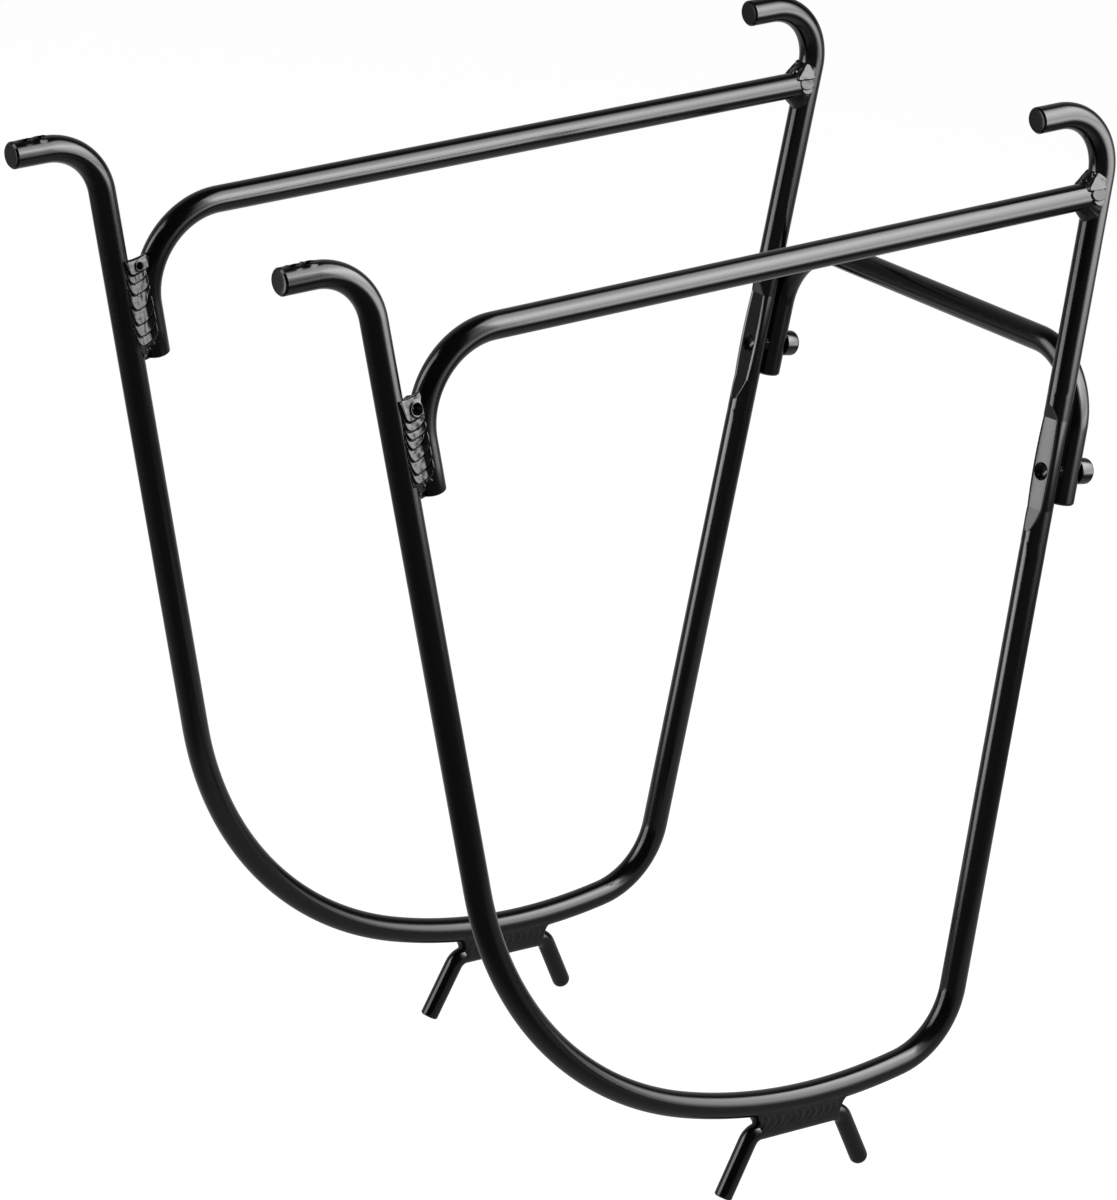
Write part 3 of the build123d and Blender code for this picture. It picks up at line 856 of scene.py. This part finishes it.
def blob_piece(name, side, centre, field, reach, material):
    """Closed surface where a field crosses zero, found along rays from an inner point."""
    rows, cols = 150, 300
    stride = 0.25
    polar = np.linspace(0, pi, rows + 2)[1:-1]
    azimuth = np.linspace(0, 2 * pi, cols, endpoint=False)
    p, a = np.meshgrid(polar, azimuth, indexing="ij")
    rays = np.stack([np.cos(p), np.sin(p) * np.cos(a), np.sin(p) * np.sin(a)], -1)
    poles = np.array([[1.0, 0, 0], [-1.0, 0, 0]])

    def hit(directions):
        low = np.zeros(directions.shape[:-1])
        high = np.full(directions.shape[:-1], reach)
        found = np.zeros(directions.shape[:-1], bool)
        for far in np.arange(stride, reach, stride):
            crossing = (field(centre + directions * far) > 0) & ~found
            high = np.where(crossing, far, high)
            low = np.where(crossing, far - stride, low)
            found |= crossing
        for _ in range(12):
            middle = (low + high) / 2
            outside = field(centre + directions * middle[..., None]) > 0
            high = np.where(outside, middle, high)
            low = np.where(outside, low, middle)
        distance = np.where(found, (low + high) / 2, reach)
        return centre + directions * distance[..., None]

    body = hit(rays).reshape(-1, 3)
    ends = hit(poles)
    points = np.concatenate([ends[:1], body, ends[1:]])
    faces = ring_faces(rows, cols)
    return new_piece(name, to_row(points, side), faces, material, WELD_SHARP)


def oval(x, z, half_x, half_z):
    """Corners (x, z) of an oval outline."""
    turns = np.linspace(0, 2 * pi, 14, endpoint=False)
    return [(x + half_x * cos(q), z + half_z * sin(q)) for q in turns]


# Flat-faced scales on each side of the rear weld, as on its outer side, from the junction:
# outline as (x, z) corners, a point (x, out, z) of the face, and the face's direction
REAR_SCALES = [
    (((-0.5, 3.2), (-0.7, 4.8), (-2.3, 9.1), (-3.2, 9.2), (-8.0, 4.2), (-8.1, 3.0)),
     (-3.9, 5.35, 5.2), (-0.11, 0.905, 0.412)),
    (oval(-4.3, 1.5, 3.2, 2.5), (-4.3, 5.95, 1.5), (-0.17, 0.94, 0.28)),
    (oval(-4.0, -0.7, 2.7, 2.2), (-4.0, 6.0, -1.2), (-0.06, 0.92, 0.38)),
]
# Point and direction of the bevel at the scales' front
REAR_BEVEL = np.array([[-8.2, 4.3, 4.0], [-0.20, 0.89, 0.41]])
# Round splashes of the rear weld: centre and half sizes (x, out, z) from the junction
REAR_LUMPS = [
    ((-7.0, -0.8, 5.7), (0.9, 0.9, 0.8)), ((-3.9, 1.9, 8.3), (0.9, 0.8, 1.0)),
    ((-7.4, 0.4, -5.1), (1.1, 1.4, 0.8)),
]


def soft_min(a, b, k):
    """Smaller of two distances, rounded where they differ by less than k."""
    h = np.clip(0.5 + 0.5 * (b - a) / k, 0, 1)
    return b * (1 - h) + a * h - k * h * (1 - h)


def soft_max(a, b, k):
    """Larger of two distances, rounded in the same way."""
    return -soft_min(-a, -b, k)


def ellipsoid(points, centre, sizes):
    """Rough signed distance to an ellipsoid."""
    scaled = (points - np.array(centre)) / np.array(sizes)
    return (np.linalg.norm(scaled, axis=-1) - 1) * min(sizes)


def prism(points, corners, face_point, facing):
    """Rough signed distance to a convex prism along "out" with one slanted face."""
    normal = np.array(facing) / np.linalg.norm(facing)
    inside = (points - np.array(face_point)) @ normal
    inside = soft_max(inside, (points - REAR_BEVEL[0]) @ REAR_BEVEL[1], 0.3)
    for (x0, z0), (x1, z1) in zip(corners, list(corners[1:]) + [corners[0]]):
        length = sqrt((x1 - x0) ** 2 + (z1 - z0) ** 2)
        edge = ((points[..., 0] - x0) * (z1 - z0) - (points[..., 2] - z0) * (x1 - x0)) / length
        inside = soft_max(inside, edge, 0.6)
    return np.maximum(inside, -points[..., 1])


def rear_weld(side, name, material, seed):
    """Chamfer-like fillet round the rail's end with flat-faced scales on each side."""
    junction = np.array([JUNCTION[0], 0.0, JUNCTION[1]])
    centre = junction - np.array([3.0, 0.0, 0.0])
    leg = np.array([cos(LEG_ANGLE), 0.0, sin(LEG_ANGLE)])

    def field(points):
        rel = points - junction
        along_leg = rel @ leg
        to_leg = np.linalg.norm(rel - along_leg[..., None] * leg, axis=-1) - ROD_R
        round_rail = np.hypot(rel[..., 1], rel[..., 2])
        to_rail = np.maximum(round_rail - ROD_R, rel[..., 0] - 1.0)
        ripple = wobble(rel[..., 0] * 1.3 + rel[..., 2], rel[..., 1] + 0.6 * rel[..., 2], seed, 4.2)
        body = soft_min(to_leg + 0.35, to_rail + 0.35, 0.6)
        behind = rel[..., 0] - rel[..., 2] / np.tan(LEG_ANGLE)
        upright = np.abs(rel[..., 2]) / np.maximum(round_rail, 0.1)
        reach = 1.0 + 3.4 * upright ** 2
        chamfer = (to_leg + to_rail - reach) * 0.7071 - 0.14 * ripple
        body = soft_min(body, soft_max(chamfer, behind + 1.2, 0.8), 0.6)
        mirrored = rel * np.array([1.0, -1.0, 1.0])
        for part, push in ((rel, 0.0), (mirrored, -0.35)):
            for corners_xz, face_point, facing in REAR_SCALES:
                level = np.array(face_point) + np.array([0.0, push, 0.0])
                body = soft_min(body, prism(part, corners_xz, level, facing), 0.22)
        for offset, sizes in REAR_LUMPS:
            body = soft_min(body, ellipsoid(rel, offset, sizes), 0.45)
        return body - 0.04 * ripple

    return blob_piece(name, side, centre, field, 12.0, material)


def foot_weld(outward, name, side, material, seed):
    """Nearly flat web between bow and bracket, with faint arcs and a pit at its front end."""
    t, q = np.meshgrid(np.linspace(0, 1, 64), np.linspace(-1, 1, 260))
    scallop = 2.6 * np.sin(pi * t) ** 0.9
    reach = 26.0 - 5.0 * t - scallop + 0.35 * wobble(t * 9.0, q * 0.0, seed + 3, 9.0)
    x = q * reach
    centre = bracket_centre()
    middle = rotate(np.stack([x, np.zeros_like(x)], -1), -BRACKET_TILT) + centre
    along = middle[..., 0]
    bow = BOW_CENTRE[1] - np.sqrt((BOW_R + 0.8) ** 2 - (along - BOW_CENTRE[0]) ** 2)
    z = bow * (1 - t) + (middle[..., 1] - 1.0) * t
    from_bow = np.hypot(along - BOW_CENTRE[0], z - BOW_CENTRE[1]) - BOW_R
    bow_height = np.sqrt(np.maximum(ROD_R ** 2 - from_bow ** 2, 0.0))
    local = rotate(np.stack([along, z], -1) - centre, BRACKET_TILT)
    past = np.maximum(np.abs(local[..., 0]) - BRACKET_SPAN / 2, 0.0)
    bracket_height = np.sqrt(np.maximum(BRACKET_R ** 2 - local[..., 1] ** 2 - past ** 2, 0.0))
    rods = np.maximum(bow_height, bracket_height)
    face = 4.75 * (1 - t) + 3.55 * t - 0.35 * np.sin(pi * t)
    arc = (x + 0.35 * ((t - 0.45) * 9.0) ** 2) / 3.3 + 0.12 * wobble(x, t * 10, seed, 8.0)
    wave = np.abs((arc % 1.0) * 2 - 1)
    inner = np.sin(pi * t) ** 0.7
    face += 0.27 * wave ** 3 * inner + 0.10 * wobble(x, t * 12, seed + 1, 6.0) * inner
    pit = np.exp(-(((x + 20.2) / 1.4) ** 2 + ((t - 0.66) * 8.0) ** 2))
    bead = np.exp(-(((x + 17.4) / 0.7) ** 2 + ((t - 0.42) * 12.0) ** 2))
    face += 0.35 * bead - 1.3 * pit
    inward = np.clip((1 - np.abs(q)) * reach / 2.4, 0, 1)
    top = face * np.sqrt(inward * 2 - inward ** 2)
    toe = np.maximum(smooth_step(t, 0.93, 1.0), 1 - smooth_step(t, 0.0, 0.07))
    top = top * (1 - toe) + np.minimum(top, rods - 0.25) * toe
    top, under = weld_underside(top, rods, 0.6)

    def grid(level):
        return np.stack([along, outward * level, z], -1)

    points, faces = sheet_solid(grid(top), grid(under))
    return new_piece(name, to_row(points, side), faces, material, WELD_SHARP)


# ---- studio

def ramp_node(tree, value, stops):
    """Colour ramp with grey stops (position, level)."""
    node = add_node(tree, "ValToRGB", {0: value})
    ramp = node.color_ramp
    ramp.interpolation = "LINEAR"
    while len(ramp.elements) < len(stops):
        ramp.elements.new(0.5)
    for element, (position, level) in zip(ramp.elements, stops):
        element.position = position
        element.color = (level, level, level, 1.0)
    return node.outputs[0]


def area_light(name, place, across, upward, radiance, across_stops, upward_stops):
    """Soft box facing the object, brighter at its middle.

    place: azimuth in degrees, distance and height in metres, tilt in degrees; across and upward:
    where its face begins and ends in metres; then its peak and stops along each way."""
    azimuth, distance, height, tilt = place
    size = (across[1] - across[0], upward[1] - upward[0])
    data = bpy.data.lights.new(name, "AREA")
    data.shape = "RECTANGLE"
    data.size, data.size_y = size
    data.energy = radiance * pi * size[0] * size[1]
    data.use_nodes = True
    tree = data.node_tree
    face = add_node(tree, "NewGeometry").outputs["Parametric"]
    split = add_node(tree, "SeparateXYZ", {0: face})
    levels = {}
    for k, (ends, stops) in enumerate(((across, across_stops), (upward, upward_stops))):
        stops = [((at - ends[0]) / (ends[1] - ends[0]), level) for at, level in stops]
        levels[k] = ramp_node(tree, split.outputs[k], stops)
    product = add_node(tree, "Math", levels, operation="MULTIPLY")
    feed(tree, tree.nodes["Emission"].inputs["Strength"], product.outputs[0])
    a, t = radians(azimuth), radians(tilt)
    back = np.array([cos(a) * cos(t), sin(a) * cos(t), sin(t)])
    right = np.array([-sin(a), cos(a), 0.0])
    up = np.cross(back, right)
    centre = np.array([cos(a) * distance, sin(a) * distance, height])
    centre += right * sum(across) / 2 + up * sum(upward) / 2
    lamp = in_scene(name, data)
    lamp.matrix_world = Matrix(axes_matrix(right, up, back, centre).tolist())
    lamp.visible_camera = False


def two_way_shader(tree, reflected, seen, output):
    """Show one shader to the camera and another one in reflections."""
    camera_ray = add_node(tree, "LightPath").outputs["Is Camera Ray"]
    mix = add_node(tree, "MixShader", {0: camera_ray, 1: reflected.outputs[0],
                                       2: seen.outputs[0]})
    add_node(tree, output, {0: mix.outputs[0]})


def white_world():
    """White for the camera; for reflections a dark room with a dim pale wall on the right."""
    world = bpy.data.worlds.new("studio")
    bpy.context.scene.world = world
    world.use_nodes = True
    tree = world.node_tree
    tree.nodes.clear()
    coords = add_node(tree, "TexCoord").outputs["Generated"]
    facing = add_node(tree, "VectorMath", {0: coords, 1: WALL_DIRECTION}, operation="DOT_PRODUCT")
    level = map_range(tree, facing.outputs["Value"], 0.25, 0.95, 0.04, 0.50, "SMOOTHSTEP")
    room = add_node(tree, "Background", {"Strength": level})
    seen = add_node(tree, "Background", {"Color": (1, 1, 1, 1), "Strength": 1.0})
    two_way_shader(tree, room, seen, "OutputWorld")


def painted_floor_glow(tree):
    """Painted light of the floor in reflections, a glow with no lamp behind it: a dark table in
    front, paler behind and under the object, with painted reflections of each soft box's foot
    beyond the table's edge."""
    coords = add_node(tree, "TexCoord").outputs["Object"]
    x, y, _ = add_node(tree, "SeparateXYZ", {0: coords}).outputs

    def math(operation, *values):
        return add_node(tree, "Math", dict(enumerate(values)), operation=operation).outputs[0]

    def step(value, low, high):
        return map_range(tree, value, low, high, shape="SMOOTHSTEP")

    def distance(from_x, from_y):
        dx, dy = math("SUBTRACT", x, from_x), math("SUBTRACT", y, from_y)
        return math("SQRT", math("ADD", math("MULTIPLY", dx, dx), math("MULTIPLY", dy, dy)))

    radius = distance(0.0, 0.0)
    bearing = math("ADD", math("DIVIDE", math("ARCTAN2", y, x), 2 * pi), 0.5)

    def ring(stops):
        stops = [((azimuth + 180) / 360, level) for azimuth, level in stops]
        return ramp_node(tree, bearing, stops)

    # painted light: brightness under the object, then by azimuth near it, on the table, and past
    # its edge, where the soft boxes' feet are painted in
    core = 0.33
    near = ring(((-180, 0.13), (-160, 0.09), (-95, 0.10), (-65, 0.36), (-25, 0.42), (30, 0.50),
                 (95, 0.60), (125, 0.45), (150, 0.25), (180, 0.13)))
    table = ring(((-180, 0.12), (-160, 0.09), (-80, 0.11), (-45, 0.14), (-15, 0.14), (5, 0.38),
                  (60, 0.50), (95, 0.55), (110, 0.22), (180, 0.12)))
    beyond = ring(((-180, 0.02), (-90, 0.012), (-78, 0.05), (-64, 0.10), (-57, 0.25),
                   (-34, 0.30), (-24, 0.10), (-16, 0.03), (75, 0.07), (110, 0.02), (138, 0.04),
                   (146, 0.62), (158, 0.62), (170, 0.34), (176, 0.34), (180, 0.02)))

    def mix(factor, first, second):
        return math("ADD", first, math("MULTIPLY", factor, math("SUBTRACT", second, first)))

    inner = mix(step(radius, 0.12, 0.26), core, near)
    inner = mix(step(radius, 0.36, 0.52), inner, table)
    edge = step(distance(0.13, -0.11), 0.92, 1.18)
    return mix(edge, inner, math("MULTIPLY", beyond, 8.0))


def pale_floor():
    """Round white floor: nearly shadowless to the camera; in reflections it shows a darker painted
    glow of a lit table and the soft boxes' feet.
    """
    turns = np.arange(FLOOR_SIDES) * 2 * pi / FLOOR_SIDES
    points = [(FLOOR_R * cos(q), FLOOR_R * sin(q), -FLOOR_DROP) for q in turns]
    mesh = bpy.data.meshes.new("floor")
    mesh.from_pydata(points, [], [tuple(range(FLOOR_SIDES))])
    floor = in_scene("floor", mesh)
    material = bpy.data.materials.new("pale_floor")
    material.use_nodes = True
    tree = material.node_tree
    tree.nodes.clear()
    glow = add_node(tree, "Emission", {"Strength": FLOOR_BRIGHTNESS})
    matte = add_node(tree, "BsdfDiffuse", {"Color": (0.8, 0.8, 0.8, 1)})
    # painted reflection: the floor emits painted light of a lit table and the soft boxes' feet,
    # seen only in reflections
    dim = add_node(tree, "Emission", {"Strength": painted_floor_glow(tree)})
    seen = add_node(tree, "MixShader", {0: SHADOW_SHARE, 1: glow.outputs[0],
                                        2: matte.outputs[0]})
    two_way_shader(tree, dim, seen, "OutputMaterial")
    mesh.materials.append(material)
    floor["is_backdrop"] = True


def camera():
    """Camera at the measured eye point, looking along its own axes."""
    data = bpy.data.cameras.new("camera")
    data.sensor_width = 36.0
    data.lens = FOCAL * data.sensor_width / VIEW_HEIGHT
    data.shift_x = -CENTRE_OFFSET[0] / VIEW_HEIGHT
    data.shift_y = CENTRE_OFFSET[1] / VIEW_HEIGHT
    data.clip_start, data.clip_end = 0.05, 60.0
    eye = in_scene("camera", data)
    right, up = np.array(CAMERA_RIGHT), -np.array(CAMERA_DOWN)
    eye.matrix_world = Matrix(axes_matrix(right, up, np.cross(right, up), EYE).tolist())
    bpy.context.scene.camera = eye


# ---- assembly

def stand_in(piece, *nodes):
    """The piece rides on the one body and is shown instead of the CAD nodes."""
    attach(piece, "root")
    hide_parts(*nodes)


def corners(box):
    """The two corners of a box as plain lists."""
    return [list(corner) for corner in box]


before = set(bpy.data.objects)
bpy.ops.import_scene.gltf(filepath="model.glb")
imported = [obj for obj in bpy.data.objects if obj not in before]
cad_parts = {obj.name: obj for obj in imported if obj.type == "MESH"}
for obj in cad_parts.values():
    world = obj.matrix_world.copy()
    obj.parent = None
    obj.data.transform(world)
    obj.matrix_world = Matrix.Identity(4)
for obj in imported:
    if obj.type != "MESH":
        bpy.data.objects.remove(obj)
cad_box = corners(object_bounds())

gloss, satin, steel = rod_black(), weld_black(), screw_black()
stand_in(crossbar(gloss), "crossbar")
for label, side, seed in (("left", -1, 11), ("right", 1, 47)):
    stand_in(hoop_rod(side, label + "_hoop", gloss), label + "_hoop_rod")
    stand_in(top_rail(side, label + "_rail", gloss), label + "_top_rail")
    stand_in(foot_bracket(side, label + "_bracket", gloss), label + "_foot_bracket")
    stand_in(screw(side, label + "_screw", steel), label + "_crossbar_screw")
    stand_in(rear_weld(side, label + "_rear_bead", satin, seed), label + "_rear_weld")
    for face, outward in (("outer", 1), ("inner", -1)):
        bead = front_weld(outward, label + "_front_bead_" + face, side, satin, seed + outward)
        stand_in(bead, label + "_front_weld_" + face)
        web = foot_weld(outward, label + "_foot_bead_" + face, side, satin, seed + 5 * outward)
        stand_in(web, label + "_foot_weld_" + face)

pale_floor()
white_world()
area_light("right_box", (-42.75, 0.561, 0.661, 19.6), (-0.50, 0.46), (-0.72, 0.62), 11.5,
           ((-0.50, 0.06), (-0.40, 0.14), (-0.31, 0.30), (-0.27, 1.0), (-0.10, 1.0),
            (0.10, 0.88), (0.25, 0.78), (0.33, 0.45), (0.42, 0.12), (0.46, 0.05)),
           ((-0.72, 0.02), (-0.62, 0.08), (-0.55, 0.25), (-0.45, 0.42), (-0.30, 0.52),
            (-0.15, 0.75), (0.0, 1.0), (0.08, 1.0), (0.18, 0.75), (0.30, 0.55),
            (0.45, 0.50), (0.55, 0.30), (0.62, 0.10)))
area_light("left_box", (157.2, 1.673, 1.102, 10.0), (-0.66, 0.62), (-1.10, 1.10), 8.0,
           ((-0.66, 0.45), (-0.60, 0.60), (0.0, 0.60), (0.55, 0.60), (0.62, 0.40)),
           ((-1.10, 0.62), (-0.50, 0.70), (-0.15, 1.0), (0.15, 1.0), (0.50, 0.70), (1.10, 0.50)))
camera()
bpy.context.scene.view_settings.view_transform = "Standard"

visual_box = corners(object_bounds())
